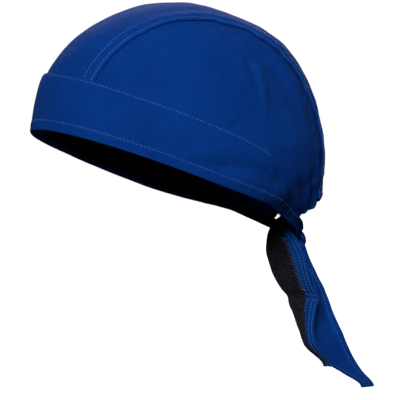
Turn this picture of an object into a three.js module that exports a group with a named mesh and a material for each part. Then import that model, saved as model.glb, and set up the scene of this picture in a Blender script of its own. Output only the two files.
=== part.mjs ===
// A tie-back cloth cap: a centre panel and two side panels under a wide brow band, which runs
// back into two ties knotted at the nape. Dark towelling lines the band and the ties.
// Millimetres, +Z up, the wearer faces -Y. The origin is the top of the hollow, where a head carries it.
import * as THREE from 'three';

// The hollow for the head
const headLength = 196;
const headBreadth = 148;
const crownRise = 100;

// Cloth walls and the room between layers
const clothWall = 1.2;
const liningWall = 1.2;
const layerGap = 0.6;

// Brow band: its lower edge lies in a tilted plane
const rimDrop = 85.5;
const rimTilt = 20;
const bandWidth = 38.5;
const bandTuck = 9;
const bandEnd = 171;
const gatherStart = 145;
const gatheredWall = 2.2;
const liningInset = 1.5;

// Centre panel, its felled seams and the hem at the nape
const centrePanelHalf = 43.5;
const seamReach = 75.5;
const seamAllowance = 7;
const seamRidge = 0.5;
const hemDrop = 131;
const hemFold = 5.5;
const hemFoldWall = 0.6;

// Half knot at the nape: two strands side by side, turned about each other
const knotHeight = 24;
const strandThick = 7.2;
const strandBroad = 10.6;
const knotTurn = 400;
const knotSpread = 1.25;
const knotFlat = 0.7;
const knotHead = 0.7;
const knotDrop = 147;
const knotReach = headLength / 2 - 5.5;

// Ties below the knot
const tieWidth = 38;
const longTailDrop = 97;
const shortTailDrop = 105;
const tieReach = headLength / 2 - 8;
const rearHem = 13;
const frontHem = 2;

// Grid counts
const bandSteps = 88;
const bandRows = 5;
const liningRows = 3;
const panelSteps = 38;
const panelRows = 11;
const centreSteps = 32;
const centreRows = 8;
const knotLevels = 15;
const knotSides = 14;
const tieStations = 14;
const tieStrips = 6;

// Shape of the hollow by elevation above its widest level: each value is a share of the plain
// ellipsoid of the three head sizes, and the corner columns act between the front, side and back.
const crownSections = [
  { elevation: -45, front: 0.97, side: 0.98, back: 1.06, frontCorner: 0.0, backCorner: -0.14 },
  { elevation: -30, front: 0.98, side: 0.98, back: 1.05, frontCorner: 0.0, backCorner: -0.15 },
  { elevation: -15, front: 0.98, side: 1.0, back: 1.055, frontCorner: 0.0, backCorner: -0.05 },
  { elevation: 0, front: 0.98, side: 1.01, back: 1.045, frontCorner: 0.01, backCorner: 0.0 },
  { elevation: 15, front: 0.99, side: 1.02, back: 1.035, frontCorner: 0.02, backCorner: 0.0 },
  { elevation: 30, front: 1.025, side: 1.03, back: 1.045, frontCorner: 0.02, backCorner: 0.01 },
  { elevation: 45, front: 1.025, side: 1.03, back: 1.045, frontCorner: 0.02, backCorner: 0.01 },
  { elevation: 60, front: 1.01, side: 1.02, back: 1.0, frontCorner: 0.01, backCorner: 0.01 },
  { elevation: 75, front: 1.005, side: 1.01, back: 0.98, frontCorner: 0.0, backCorner: 0.0 },
  { elevation: 90, front: 1.0, side: 1.0, back: 1.0, frontCorner: 0.0, backCorner: 0.0 },
];

// Band edges by azimuth from the brow, as shares of the band's width above the rim plane
const bandRun = [
  { azimuth: 0, lower: 0.0, upper: 1.03 },
  { azimuth: 20, lower: 0.0, upper: 1.0 },
  { azimuth: 90, lower: 0.0, upper: 0.97 },
  { azimuth: 106, lower: 0.03, upper: 0.95 },
  { azimuth: 113, lower: 0.045, upper: 0.86 },
  { azimuth: 119, lower: 0.055, upper: 0.64 },
  { azimuth: 126, lower: 0.065, upper: 0.45 },
  { azimuth: 136, lower: 0.06, upper: 0.32 },
  { azimuth: 148, lower: 0.01, upper: 0.22 },
  { azimuth: 160, lower: -0.05, upper: 0.16 },
  { azimuth: 173, lower: -0.14, upper: 0.12 },
];

// Half-width of the centre panel along its length: 0 at the brow, 90 at the top, 180 at the back
const centreRun = [
  { along: 0, half: 1.0 },
  { along: 60, half: 1.0 },
  { along: 80, half: 0.95 },
  { along: 100, half: 0.92 },
  { along: 125, half: 0.94 },
  { along: 145, half: 0.88 },
  { along: 160, half: 0.78 },
  { along: 180, half: 0.64 },
  { along: 205, half: 0.54 },
];

// Folds on the wearer's left: a run from one place to another in azimuth and elevation.
// spread is a share of the band's width, and height of the cloth's wall, below 0 in a hollow.
const folds = [
  { azimuth: 180, elevation: -26, toAzimuth: 158, toElevation: -24, spread: 0.24, height: -2.8, mirror: 1 },
  { azimuth: 172, elevation: -30, toAzimuth: 126, toElevation: -9, spread: 0.17, height: -1.3, mirror: 0.8 },
  { azimuth: 171, elevation: -26, toAzimuth: 144, toElevation: 0, spread: 0.18, height: 1.2, mirror: 1 },
  { azimuth: 122, elevation: 36, toAzimuth: 134, toElevation: 10, spread: 0.18, height: -1.6, mirror: 0.6 },
  { azimuth: 134, elevation: 30, toAzimuth: 142, toElevation: 4, spread: 0.16, height: 1.3, mirror: 0.5 },
  { azimuth: 96, elevation: -5, toAzimuth: 132, toElevation: -12, spread: 0.17, height: -1.2, mirror: 0.7 },
];

// The two tails, by their rear edges: side and back are shares of the tie's width, down of the drop,
// width of the tie's width; facing is the azimuth of the blue face and cup the hollow of it.
const longTail = [
  { down: 0.0, side: -0.08, back: 0.22, width: 0.3, facing: 145, cup: 0.0, wall: 1.6 },
  { down: 0.08, side: -0.03, back: 0.32, width: 0.38, facing: 140, cup: 0.03, wall: 1.3 },
  { down: 0.25, side: 0.02, back: 0.55, width: 0.52, facing: 136, cup: 0.05, wall: 1 },
  { down: 0.42, side: 0.06, back: 0.74, width: 0.74, facing: 126, cup: 0.08, wall: 1 },
  { down: 0.6, side: 0.08, back: 0.94, width: 0.88, facing: 118, cup: 0.08, wall: 1 },
  { down: 0.78, side: 0.05, back: 1.19, width: 0.78, facing: 115, cup: 0.05, wall: 1 },
  { down: 0.88, side: 0.03, back: 1.36, width: 0.52, facing: 115, cup: 0.02, wall: 1 },
  { down: 1.0, side: 0.0, back: 1.62, width: 0.34, facing: 117, cup: 0.0, wall: 1 },
];
const shortTail = [
  { down: 0.0, side: 0.24, back: -0.22, width: 0.5, facing: 200, cup: 0.0, wall: 1.5 },
  { down: 0.1, side: 0.3, back: -0.21, width: 0.68, facing: 202, cup: -0.01, wall: 1.4 },
  { down: 0.18, side: 0.38, back: -0.08, width: 0.88, facing: 204, cup: -0.02, wall: 1.1 },
  { down: 0.25, side: 0.47, back: -0.03, width: 0.96, facing: 203, cup: -0.03, wall: 1 },
  { down: 0.38, side: 0.58, back: 0.02, width: 0.98, facing: 200, cup: -0.05, wall: 1 },
  { down: 0.53, side: 0.63, back: 0.16, width: 0.9, facing: 200, cup: -0.05, wall: 1 },
  { down: 0.6, side: 0.66, back: 0.13, width: 0.76, facing: 200, cup: -0.04, wall: 1 },
  { down: 0.73, side: 0.66, back: 0.09, width: 0.5, facing: 200, cup: -0.03, wall: 1 },
  { down: 0.8, side: 0.66, back: 0.12, width: 0.39, facing: 200, cup: -0.02, wall: 1 },
  { down: 0.87, side: 0.66, back: 0.19, width: 0.33, facing: 202, cup: -0.01, wall: 1 },
  { down: 1.0, side: 0.62, back: 0.54, width: 0.25, facing: 204, cup: 0.0, wall: 1 },
];

// Heights of the layers above the hollow
const sideLift = liningWall + layerGap;
const centreLift = sideLift + clothWall + layerGap;
const bandLift = centreLift + clothWall + seamRidge + layerGap;
const bandSideLift = sideLift + clothWall + layerGap;

const radians = THREE.MathUtils.degToRad;
const { clamp, lerp, smoothstep } = THREE.MathUtils;

// A smooth curve through one column of a table, level past its ends
function columnAt(table, key, column, at) {
  const last = table.length - 1;
  let row = 0;
  while (row < last - 1 && at > table[row + 1][key]) row += 1;
  const slope = (n) => {
    const before = table[Math.max(n - 1, 0)];
    const after = table[Math.min(n + 1, last)];
    return n === 0 || n === last ? 0 : (after[column] - before[column]) / (after[key] - before[key]);
  };
  const start = table[row];
  const end = table[row + 1];
  const span = end[key] - start[key];
  const t = clamp((at - start[key]) / span, 0, 1);
  const rise = end[column] - start[column];
  const bend = slope(row) * span * t * (1 - t) ** 2 - slope(row + 1) * span * t * t * (1 - t);
  return start[column] + rise * t * t * (3 - 2 * t) + bend;
}

// A direction from the middle of the hollow: azimuth 0 at the brow, 90 at the wearer's left
function heading(azimuth, elevation) {
  const a = radians(azimuth);
  const e = radians(elevation);
  return new THREE.Vector3(Math.cos(e) * Math.sin(a), -Math.cos(e) * Math.cos(a), Math.sin(e));
}

const foldLines = folds.flatMap((fold) => [1, -1].map((side) => ({
  from: heading(side * fold.azimuth, fold.elevation),
  to: heading(side * fold.toAzimuth, fold.toElevation),
  spread: fold.spread * bandWidth,
  height: fold.height * clothWall * (side > 0 ? 1 : fold.mirror),
})));

// Height of the folds at a direction
function foldRelief(direction) {
  let relief = 0;
  for (const { from, to, spread, height } of foldLines) {
    const run = to.clone().sub(from);
    const t = clamp(direction.clone().sub(from).dot(run) / run.lengthSq(), 0, 1);
    const away = direction.distanceTo(from.clone().addScaledVector(run, t)) * crownRise;
    const taper = 1 - smoothstep(t, 0.5, 1);
    relief += height * taper * Math.exp(-((away / spread) ** 2));
  }
  return relief;
}

// Point of the hollow's wall at a direction, lifted off it by a height
function shellPoint(direction, lift) {
  const elevation = THREE.MathUtils.radToDeg(Math.asin(clamp(direction.z, -1, 1)));
  const across = direction.x ** 2;
  const along = direction.y ** 2;
  const flat = Math.max(across + along, 1e-9);
  const end = direction.y < 0 ? 'front' : 'back';
  const corner = columnAt(crownSections, 'elevation', `${end}Corner`, elevation);
  const share = (columnAt(crownSections, 'elevation', 'side', elevation) * across
    + columnAt(crownSections, 'elevation', end, elevation) * along
    + corner * 4 * across * along / flat) / flat;
  const semi = new THREE.Vector3(headBreadth / 2, headLength / 2, crownRise);
  const point = direction.clone().multiply(semi).multiplyScalar(share);
  const normal = direction.clone().divide(semi).normalize();
  point.addScaledVector(normal, lift + foldRelief(direction));
  point.z -= crownRise;
  return point;
}

// Elevation at which the shell crosses a height above the rim plane
function elevationOver(azimuth, height) {
  let low = -60;
  let high = 85;
  for (let step = 0; step < 30; step += 1) {
    const middle = (low + high) / 2;
    const point = shellPoint(heading(azimuth, middle), 0);
    const plane = -rimDrop - (point.y + headLength / 2) * Math.tan(radians(rimTilt));
    if (point.z - plane < height) low = middle;
    else high = middle;
  }
  return (low + high) / 2;
}

// A closed sheet from a grid of points: place(across, along, face) with face 0 inside and 1 outside
function sheet(steps, rows, place) {
  const positions = [];
  const index = [];
  const at = (i, j, face) => ((i * (rows + 1)) + j) * 2 + face;
  for (let i = 0; i <= steps; i += 1) {
    for (let j = 0; j <= rows; j += 1) {
      for (const face of [0, 1]) positions.push(...place(i / steps, j / rows, face).toArray());
    }
  }
  const quad = (a, b, c, d) => index.push(a, b, c, a, c, d);
  for (let i = 0; i < steps; i += 1) {
    for (let j = 0; j < rows; j += 1) {
      quad(at(i, j, 1), at(i + 1, j, 1), at(i + 1, j + 1, 1), at(i, j + 1, 1));
      quad(at(i, j + 1, 0), at(i + 1, j + 1, 0), at(i + 1, j, 0), at(i, j, 0));
    }
    quad(at(i, 0, 0), at(i + 1, 0, 0), at(i + 1, 0, 1), at(i, 0, 1));
    quad(at(i, rows, 1), at(i + 1, rows, 1), at(i + 1, rows, 0), at(i, rows, 0));
  }
  for (let j = 0; j < rows; j += 1) {
    quad(at(0, j, 1), at(0, j + 1, 1), at(0, j + 1, 0), at(0, j, 0));
    quad(at(steps, j, 0), at(steps, j + 1, 0), at(steps, j + 1, 1), at(steps, j, 1));
  }
  const geometry = new THREE.BufferGeometry();
  geometry.setAttribute('position', new THREE.Float32BufferAttribute(positions, 3));
  geometry.setIndex(index);
  geometry.computeVertexNormals();
  return geometry;
}

const blueCloth = { color: 0x003a8c, roughness: 0.85, metalness: 0 };
const darkTowelling = { color: 0x0d0d14, roughness: 0.95, metalness: 0 };

function piece(name, geometry, finish) {
  const mesh = new THREE.Mesh(geometry, new THREE.MeshStandardMaterial(finish));
  mesh.name = name;
  return mesh;
}

const knotCentre = new THREE.Vector3(0, knotReach, -knotDrop);

// Direction on the band at an azimuth, with 0 at its lower edge and 1 at its upper edge
function bandHeading(azimuth, up) {
  const lower = columnAt(bandRun, 'azimuth', 'lower', Math.abs(azimuth)) * bandWidth;
  const upper = columnAt(bandRun, 'azimuth', 'upper', Math.abs(azimuth)) * bandWidth;
  return heading(azimuth, elevationOver(azimuth, lerp(lower, upper, up)));
}

// Share of the band's height that the crown's panels reach down behind it
function tuckLine(azimuth) {
  const lower = columnAt(bandRun, 'azimuth', 'lower', Math.abs(azimuth));
  const upper = columnAt(bandRun, 'azimuth', 'upper', Math.abs(azimuth));
  return 1 - Math.min(bandTuck / ((upper - lower) * bandWidth), 0.6);
}

const gatherAt = (azimuth) => smoothstep(Math.abs(azimuth), gatherStart, bandEnd);

// The band stands higher over the centre panel than over the side panels
function bandLiftAt(azimuth) {
  const foot = THREE.MathUtils.radToDeg(Math.asin(centrePanelHalf / seamReach));
  const side = smoothstep(Math.abs(azimuth), foot, foot + 20);
  return lerp(bandLift, bandSideLift + gatherAt(azimuth) * layerGap, side);
}

function browBand() {
  return sheet(bandSteps, bandRows, (t, up, face) => {
    const azimuth = lerp(-bandEnd, bandEnd, t);
    const wall = clothWall * lerp(1, gatheredWall, gatherAt(azimuth));
    return shellPoint(bandHeading(azimuth, up), bandLiftAt(azimuth) + face * wall);
  });
}

function sweatband() {
  const end = bandEnd - 2;
  return sheet(bandSteps, liningRows, (t, up, face) => {
    const azimuth = lerp(-end, end, t);
    const inset = liningInset / bandWidth;
    return shellPoint(bandHeading(azimuth, lerp(inset, 1 - inset, up)), face * liningWall);
  });
}

// Direction on the crown at a place along the centre panel and a distance to the side
function panelHeading(along, aside) {
  const a = radians(along);
  const turn = Math.asin(aside / seamReach);
  return new THREE.Vector3(Math.sin(turn), -Math.cos(turn) * Math.cos(a), Math.cos(turn) * Math.sin(a));
}

const centreHalfAt = (along) => columnAt(centreRun, 'along', 'half', along) * centrePanelHalf;
const hemAlong = 180 + THREE.MathUtils.radToDeg(Math.asin(hemDrop / crownRise - 1));
const browAlong = elevationOver(0, bandWidth * tuckLine(0));

// Extra wall over the felled seams and the folded hem
const seamWall = (toSeam) => seamRidge * (1 - smoothstep(toSeam, seamAllowance, seamAllowance + 2));
const hemWall = (toHem) => hemFoldWall * (1 - smoothstep(toHem, hemFold, hemFold + 1.5));

function centrePanel() {
  return sheet(centreSteps, centreRows, (t, s, face) => {
    const along = lerp(browAlong, hemAlong, t);
    const half = centreHalfAt(along);
    const spread = Math.sign(s - 0.5) * Math.abs(2 * s - 1) ** 0.8;
    const toSeam = half * (1 - Math.abs(spread));
    const toHem = radians(hemAlong - along) * crownRise;
    const lift = centreLift + face * (clothWall + Math.max(seamWall(toSeam), hemWall(toHem)));
    return shellPoint(panelHeading(along, -half * spread), lift);
  });
}

function sidePanel(side) {
  const footAlong = browAlong + 3;
  const topHeading = (t) => {
    const along = lerp(footAlong, hemAlong, t);
    return panelHeading(along, side * (centreHalfAt(along) - seamAllowance));
  };
  const foot = topHeading(0);
  const start = THREE.MathUtils.radToDeg(Math.atan2(Math.abs(foot.x), -foot.y));
  return sheet(panelSteps, panelRows, (t, s, face) => {
    const azimuth = lerp(start, bandEnd - 3, t);
    const low = bandHeading(azimuth, tuckLine(azimuth));
    low.x *= side;
    const rise = (side > 0 ? s : 1 - s) ** 1.3;
    const direction = low.lerp(topHeading(t), rise).normalize();
    const bare = smoothstep(rise, 0.15, 0.35) * (1 - smoothstep(rise, 0.6, 0.85));
    const wall = clothWall + hemWall((1 - t) * crownRise * Math.PI) * bare;
    return shellPoint(direction, sideLift + face * wall);
  });
}

// A closed strand lofted through rings: place(along, around)
function strand(levels, sides, place) {
  const positions = [];
  const index = [];
  for (let i = 0; i <= levels; i += 1) {
    for (let k = 0; k < sides; k += 1) positions.push(...place(i / levels, k / sides).toArray());
  }
  for (let i = 0; i < levels; i += 1) {
    for (let k = 0; k < sides; k += 1) {
      const a = i * sides + k;
      const b = i * sides + ((k + 1) % sides);
      index.push(a, b, b + sides, a, b + sides, a + sides);
    }
  }
  for (let k = 1; k < sides - 1; k += 1) {
    index.push(0, k + 1, k, levels * sides, levels * sides + k, levels * sides + k + 1);
  }
  const geometry = new THREE.BufferGeometry();
  geometry.setAttribute('position', new THREE.Float32BufferAttribute(positions, 3));
  geometry.setIndex(index);
  geometry.computeVertexNormals();
  return geometry;
}

// One of the two strands that turn about each other in the knot, from its foot to its head
function knotStrand(side) {
  return strand(knotLevels, knotSides, (t, around) => {
    const turn = radians(knotTurn * (1 - t) + 90 * (1 - side));
    const ring = around * 2 * Math.PI;
    const swell = (0.8 + 0.2 * Math.sin(Math.PI * t)) * lerp(1, knotHead, smoothstep(t, 0.35, 0.7));
    const outward = layerGap / 2 + (strandThick / 2) * swell * (1 + 0.96 * Math.cos(ring));
    const sideways = (strandBroad / 2) * swell * Math.sin(ring);
    const x = outward * Math.cos(turn) - sideways * Math.sin(turn);
    const y = outward * Math.sin(turn) + sideways * Math.cos(turn);
    return new THREE.Vector3(x * knotSpread, y * knotFlat, (t - 1) * knotHeight).add(knotCentre);
  });
}

// A tail below the knot, run across from its rear edge. lining is true for the towelling inside it.
function tail(table, root, drop, hand, lining) {
  return sheet(tieStations, tieStrips, (t, s, face) => {
    const read = (column) => columnAt(table, 'down', column, t);
    const width = read('width') * tieWidth;
    const facing = radians(read('facing'));
    const outward = new THREE.Vector3(Math.sin(facing), -Math.cos(facing), 0);
    const across = new THREE.Vector3(outward.y, -outward.x, 0).multiplyScalar(hand);
    const fit = Math.min(1, width / tieWidth + 0.2);
    const run = hand > 0 ? 1 - s : s;
    const off = lining ? lerp(rearHem * fit, width - frontHem * fit, run) : width * run;
    const bow = read('cup') * tieWidth * 4 * (off / width) * (1 - off / width);
    const depth = lining ? -layerGap - (1 - face) * liningWall : face * clothWall * read('wall');
    return new THREE.Vector3(read('side') * tieWidth, read('back') * tieWidth, -t * drop)
      .addScaledVector(across, off).addScaledVector(outward, depth - bow).add(root);
  });
}

const longRoot = new THREE.Vector3(0, tieReach, -knotDrop - knotHeight - layerGap);
const shortRoot = new THREE.Vector3(0, tieReach, -knotDrop + layerGap);

const cap = new THREE.Group();
cap.add(
  piece('crown_centre_panel', centrePanel(), blueCloth),
  piece('crown_side_panel_left', sidePanel(1), blueCloth),
  piece('crown_side_panel_right', sidePanel(-1), blueCloth),
  piece('brow_band', browBand(), blueCloth),
  piece('sweatband', sweatband(), darkTowelling),
  piece('knot_left_turn', knotStrand(1), blueCloth),
  piece('knot_right_turn', knotStrand(-1), blueCloth),
  piece('long_tail', tail(longTail, longRoot, longTailDrop, 1, false), blueCloth),
  piece('long_tail_lining', tail(longTail, longRoot, longTailDrop, 1, true), darkTowelling),
  piece('short_tail', tail(shortTail, shortRoot, shortTailDrop, -1, false), blueCloth),
  piece('short_tail_lining', tail(shortTail, shortRoot, shortTailDrop, -1, true), darkTowelling),
);

export default cap;
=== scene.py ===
# Tie-back cloth cap: cut panels, brow band, towelling lining, half knot and two tails, in metres.
import math
import bpy
import numpy as np
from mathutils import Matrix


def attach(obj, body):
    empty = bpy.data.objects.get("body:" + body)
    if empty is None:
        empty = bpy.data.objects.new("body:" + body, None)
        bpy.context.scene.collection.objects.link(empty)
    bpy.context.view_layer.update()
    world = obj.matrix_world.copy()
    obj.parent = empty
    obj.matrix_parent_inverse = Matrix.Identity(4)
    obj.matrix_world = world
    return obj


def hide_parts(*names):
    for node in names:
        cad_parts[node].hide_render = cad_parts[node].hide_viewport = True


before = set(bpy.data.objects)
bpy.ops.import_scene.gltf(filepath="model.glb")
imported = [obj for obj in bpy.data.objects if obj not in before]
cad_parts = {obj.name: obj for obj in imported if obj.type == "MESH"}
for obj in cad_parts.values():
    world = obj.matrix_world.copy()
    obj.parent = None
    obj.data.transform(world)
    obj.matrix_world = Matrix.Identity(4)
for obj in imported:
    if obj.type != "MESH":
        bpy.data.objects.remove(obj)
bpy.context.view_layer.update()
print("frame loaded", len(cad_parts), "nodes")

mm = 0.001

# Sizes shared with the solids, in millimetres
hollow = {"length": 196.0, "breadth": 148.0, "rise": 100.0}
layers = {"cloth": 1.2, "lining": 1.2, "gap": 0.6, "ridge": 0.5, "hemFold": 0.6}
band = {"rimDrop": 85.5, "rimTilt": 20.0, "width": 38.5, "tuck": 9.0, "end": 171.0, "gatherStart": 145.0,
        "gatheredWall": 2.2, "liningInset": 1.5}
crown = {"centreHalf": 43.5, "seamReach": 75.5, "allowance": 7.0, "hemDrop": 131.0, "hemHeight": 5.5,
         "hemEnd": 160.0}
knot = {"height": 24.0, "thick": 7.2, "broad": 10.6, "turn": 400.0, "drop": 147.0, "reach": 92.5,
        "spread": 1.25, "flat": 0.7, "head": 0.7}
tie = {"width": 38.0, "reach": 90.0, "rearHem": 13.0, "frontHem": 2.0, "longDrop": 97.0, "shortDrop": 105.0}

# Share of the plain ellipsoid by elevation, then the band's edges and the centre panel's half width
crownSections = {
    "elevation": (-45, -30, -15, 0, 15, 30, 45, 60, 75, 90),
    "front": (0.97, 0.98, 0.98, 0.98, 0.99, 1.025, 1.025, 1.01, 1.005, 1.0),
    "side": (0.98, 0.98, 1.0, 1.01, 1.02, 1.03, 1.03, 1.02, 1.01, 1.0),
    "back": (1.06, 1.05, 1.055, 1.045, 1.035, 1.045, 1.045, 1.0, 0.98, 1.0),
    "frontCorner": (0.0, 0.0, 0.0, 0.01, 0.02, 0.02, 0.02, 0.01, 0.0, 0.0),
    "backCorner": (-0.14, -0.15, -0.05, 0.0, 0.0, 0.01, 0.01, 0.01, 0.0, 0.0),
}
bandRun = {
    "azimuth": (0, 20, 90, 108, 114, 119, 126, 136, 148, 160, 173),
    "lower": (0.0, 0.0, 0.0, 0.03, 0.045, 0.055, 0.065, 0.06, 0.01, -0.05, -0.14),
    "upper": (1.03, 1.0, 0.97, 0.93, 0.86, 0.62, 0.45, 0.32, 0.22, 0.16, 0.12),
}
centreRun = {
    "along": (0, 60, 80, 100, 125, 145, 160, 180, 205),
    "half": (1.0, 1.0, 0.95, 0.92, 0.94, 0.88, 0.78, 0.64, 0.54),
}

# Main folds: azimuth, elevation, to azimuth, to elevation, spread, height, share on the other side
mainFolds = (
    (180, -26, 158, -24, 9.24, -3.36, 1.0),
    (172, -30, 126, -9, 6.545, -1.56, 0.8),
    (171, -26, 144, 0, 6.93, 1.44, 1.0),
    (122, 36, 134, 10, 6.93, -1.92, 0.6),
    (134, 30, 142, 4, 6.16, 1.56, 0.5),
    (96, -5, 132, -12, 6.545, -1.44, 0.7),
)

# Small creases that every layer shares, in the same columns
creases = (
    (180, -16, 166, -17, 9.0, 2.0, 1.0),
    (167, -16, 162, -25, 8.0, 2.6, 1.0),
    (111, 36, 111, 16, 2.6, -1.3, 0.4),
    (115, 32, 113, 8, 3.6, 1.1, 0.5),
    (98.5, 9.5, 96, 7, 2.6, -0.9, 0.0),
    (120, -13, 104, -3, 3.0, -0.7, 0.7),
    (113, -1, 121, -11, 3.4, 0.8, 0.6),
    (168, -30, 119, -9, 1.9, -1.2, 0.9),
    (168, -29, 121, -5, 1.7, 1.3, 0.8),
    (168, -28, 126, -2, 2.0, -1.0, 0.9),
    (168, -27, 131, 0, 1.7, 1.4, 0.8),
    (168, -26, 137, 3, 2.1, -0.9, 0.7),
    (168, -25, 144, 6, 1.9, 1.1, 0.9),
    (169, -22, 152, 8, 2.4, -0.8, 1.0),
    (82, -5, 110, -7.5, 2.8, -0.8, 0.5),
    (60, -2, 96, -1, 4.0, 0.35, 1.0),
    (140, 26, 150, 8, 3.0, -0.8, 0.8),
    (118, 20, 128, 2, 4.0, -0.7, 1.0),
    (104, 30, 101, 14, 4.0, 0.45, 1.0),
    (150, 38, 158, 20, 5.0, -0.5, 1.0),
    (176, 10, 178, -14, 5.0, -0.6, 1.0),
)


def smooth(x, low, high):
    t = np.clip((x - low) / (high - low), 0.0, 1.0)
    return t * t * (3.0 - 2.0 * t)


def mix(a, b, t):
    return a + (b - a) * t


def columnAt(table, key, column, at):  # a smooth curve through one column, level past its ends
    xs = np.asarray(table[key], float)
    ys = np.asarray(table[column], float)
    slopes = np.zeros(len(xs))
    slopes[1:-1] = (ys[2:] - ys[:-2]) / (xs[2:] - xs[:-2])
    at = np.asarray(at, float)
    row = np.clip(np.searchsorted(xs, at, side="right") - 1, 0, len(xs) - 2)
    span = xs[row + 1] - xs[row]
    t = np.clip((at - xs[row]) / span, 0.0, 1.0)
    rise = ys[row + 1] - ys[row]
    bend = slopes[row] * span * t * (1 - t) ** 2 - slopes[row + 1] * span * t * t * (1 - t)
    return ys[row] + rise * t * t * (3 - 2 * t) + bend


def cloud(points, size, seed):  # soft noise between about -1 and 1, from a few plane waves
    rng = np.random.default_rng(seed)
    total = np.zeros(points.shape[:-1])
    for wave in range(9):
        way = rng.normal(size=3)
        way *= rng.uniform(0.6, 1.5) / np.linalg.norm(way)
        total += np.sin(points @ way * (2 * math.pi / size) + rng.uniform(0, 2 * math.pi))
    return total / 3.2


def heading(azimuth, elevation):
    a, e = np.radians(azimuth), np.radians(elevation)
    parts = np.broadcast_arrays(np.cos(e) * np.sin(a), -np.cos(e) * np.cos(a), np.sin(e))
    return np.stack(parts, axis=-1)


def foldRelief(way, table, arched=False):  # arched lays the folds along the shell, not its chords
    relief = np.zeros(way.shape[:-1])
    for azimuth, elevation, toAzimuth, toElevation, spread, height, other in table:
        for side, share in ((1, 1.0), (-1, other)):
            start = heading(side * azimuth, elevation)
            run = heading(side * toAzimuth, toElevation) - start
            t = np.clip((way - start) @ run / (run @ run), 0.0, 1.0)
            spine = start + t[..., None] * run
            if arched:
                spine /= np.linalg.norm(spine, axis=-1, keepdims=True)
            away = np.linalg.norm(way - spine, axis=-1) * hollow["rise"]
            relief += height * share * (1 - smooth(t, 0.5, 1.0)) * np.exp(-((away / spread) ** 2))
    return relief


def drape(way):  # what every layer shares beyond the main folds
    soft = smooth(-way[..., 1], -0.9, 0.5)
    slack = mix(0.75, 0.28, soft)
    spots = way * hollow["rise"]
    return foldRelief(way, creases, True) + slack * (0.55 * cloud(spots, 34.0, 5) + 0.25 * cloud(spots, 15.0, 8))


def shellPoint(way, lift, dressed=True):
    elevation = np.degrees(np.arcsin(np.clip(way[..., 2], -1, 1)))
    across, along = way[..., 0] ** 2, way[..., 1] ** 2
    flat = np.maximum(across + along, 1e-9)
    ahead = way[..., 1] < 0
    end = np.where(ahead, columnAt(crownSections, "elevation", "front", elevation),
                   columnAt(crownSections, "elevation", "back", elevation))
    corner = np.where(ahead, columnAt(crownSections, "elevation", "frontCorner", elevation),
                      columnAt(crownSections, "elevation", "backCorner", elevation))
    side = columnAt(crownSections, "elevation", "side", elevation)
    share = (side * across + end * along + corner * 4 * across * along / flat) / flat
    semi = np.array((hollow["breadth"] / 2, hollow["length"] / 2, hollow["rise"]))
    normal = way / semi
    normal /= np.linalg.norm(normal, axis=-1, keepdims=True)
    raised = lift + foldRelief(way, mainFolds)
    if dressed:
        raised = raised + drape(way)
    point = way * semi * share[..., None] + normal * np.asarray(raised)[..., None]
    point[..., 2] -= hollow["rise"]
    return point


def elevationOver(azimuth, height):
    azimuth, height = np.broadcast_arrays(np.asarray(azimuth, float), np.asarray(height, float))
    low, high = np.full(azimuth.shape, -60.0), np.full(azimuth.shape, 85.0)
    slope = math.tan(math.radians(band["rimTilt"]))
    for step in range(24):
        middle = (low + high) / 2
        point = shellPoint(heading(azimuth, middle), 0.0, dressed=False)
        plane = -band["rimDrop"] - (point[..., 1] + hollow["length"] / 2) * slope
        under = point[..., 2] - plane < height
        low, high = np.where(under, middle, low), np.where(under, high, middle)
    return (low + high) / 2


# Lifts of the layers over the hollow
sideLift = layers["lining"] + layers["gap"]
centreLift = sideLift + layers["cloth"] + layers["gap"]
bandLift = centreLift + layers["cloth"] + layers["ridge"] + layers["gap"]
bandSideLift = sideLift + layers["cloth"] + layers["gap"]
hemAlong = 180 + math.degrees(math.asin(crown["hemDrop"] / hollow["rise"] - 1))


# Elevations over the rim plane are looked up from a table, since the band's rows are many
azimuthTable = np.linspace(0.0, 180.0, 181)
heightTable = np.linspace(-9.0, 46.0, 56)
elevationTable = elevationOver(azimuthTable[:, None], heightTable[None, :])


def bandHeading(azimuth, height):  # a direction on the band at a height over the rim plane
    a = np.clip(np.abs(azimuth), 0.0, 179.999)
    h = np.clip((height - heightTable[0]) / (heightTable[1] - heightTable[0]), 0.0, len(heightTable) - 1.001)
    i, j = a.astype(int), h.astype(int)
    s, t = a - i, h - j
    low = mix(elevationTable[i, j], elevationTable[i + 1, j], s)
    high = mix(elevationTable[i, j + 1], elevationTable[i + 1, j + 1], s)
    return heading(azimuth, mix(low, high, t))


def bandEdges(azimuth):
    a = np.abs(azimuth)
    return (columnAt(bandRun, "azimuth", "lower", a) * band["width"],
            columnAt(bandRun, "azimuth", "upper", a) * band["width"])


def tuckHeight(azimuth):  # the panels' lower edge, hidden behind the band
    lower, upper = bandEdges(azimuth)
    return upper - np.minimum(band["tuck"], 0.6 * (upper - lower))


def gather(azimuth):
    return smooth(np.abs(azimuth), band["gatherStart"], band["end"])


browAlong = float(elevationOver(0.0, tuckHeight(np.array(0.0))))


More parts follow.
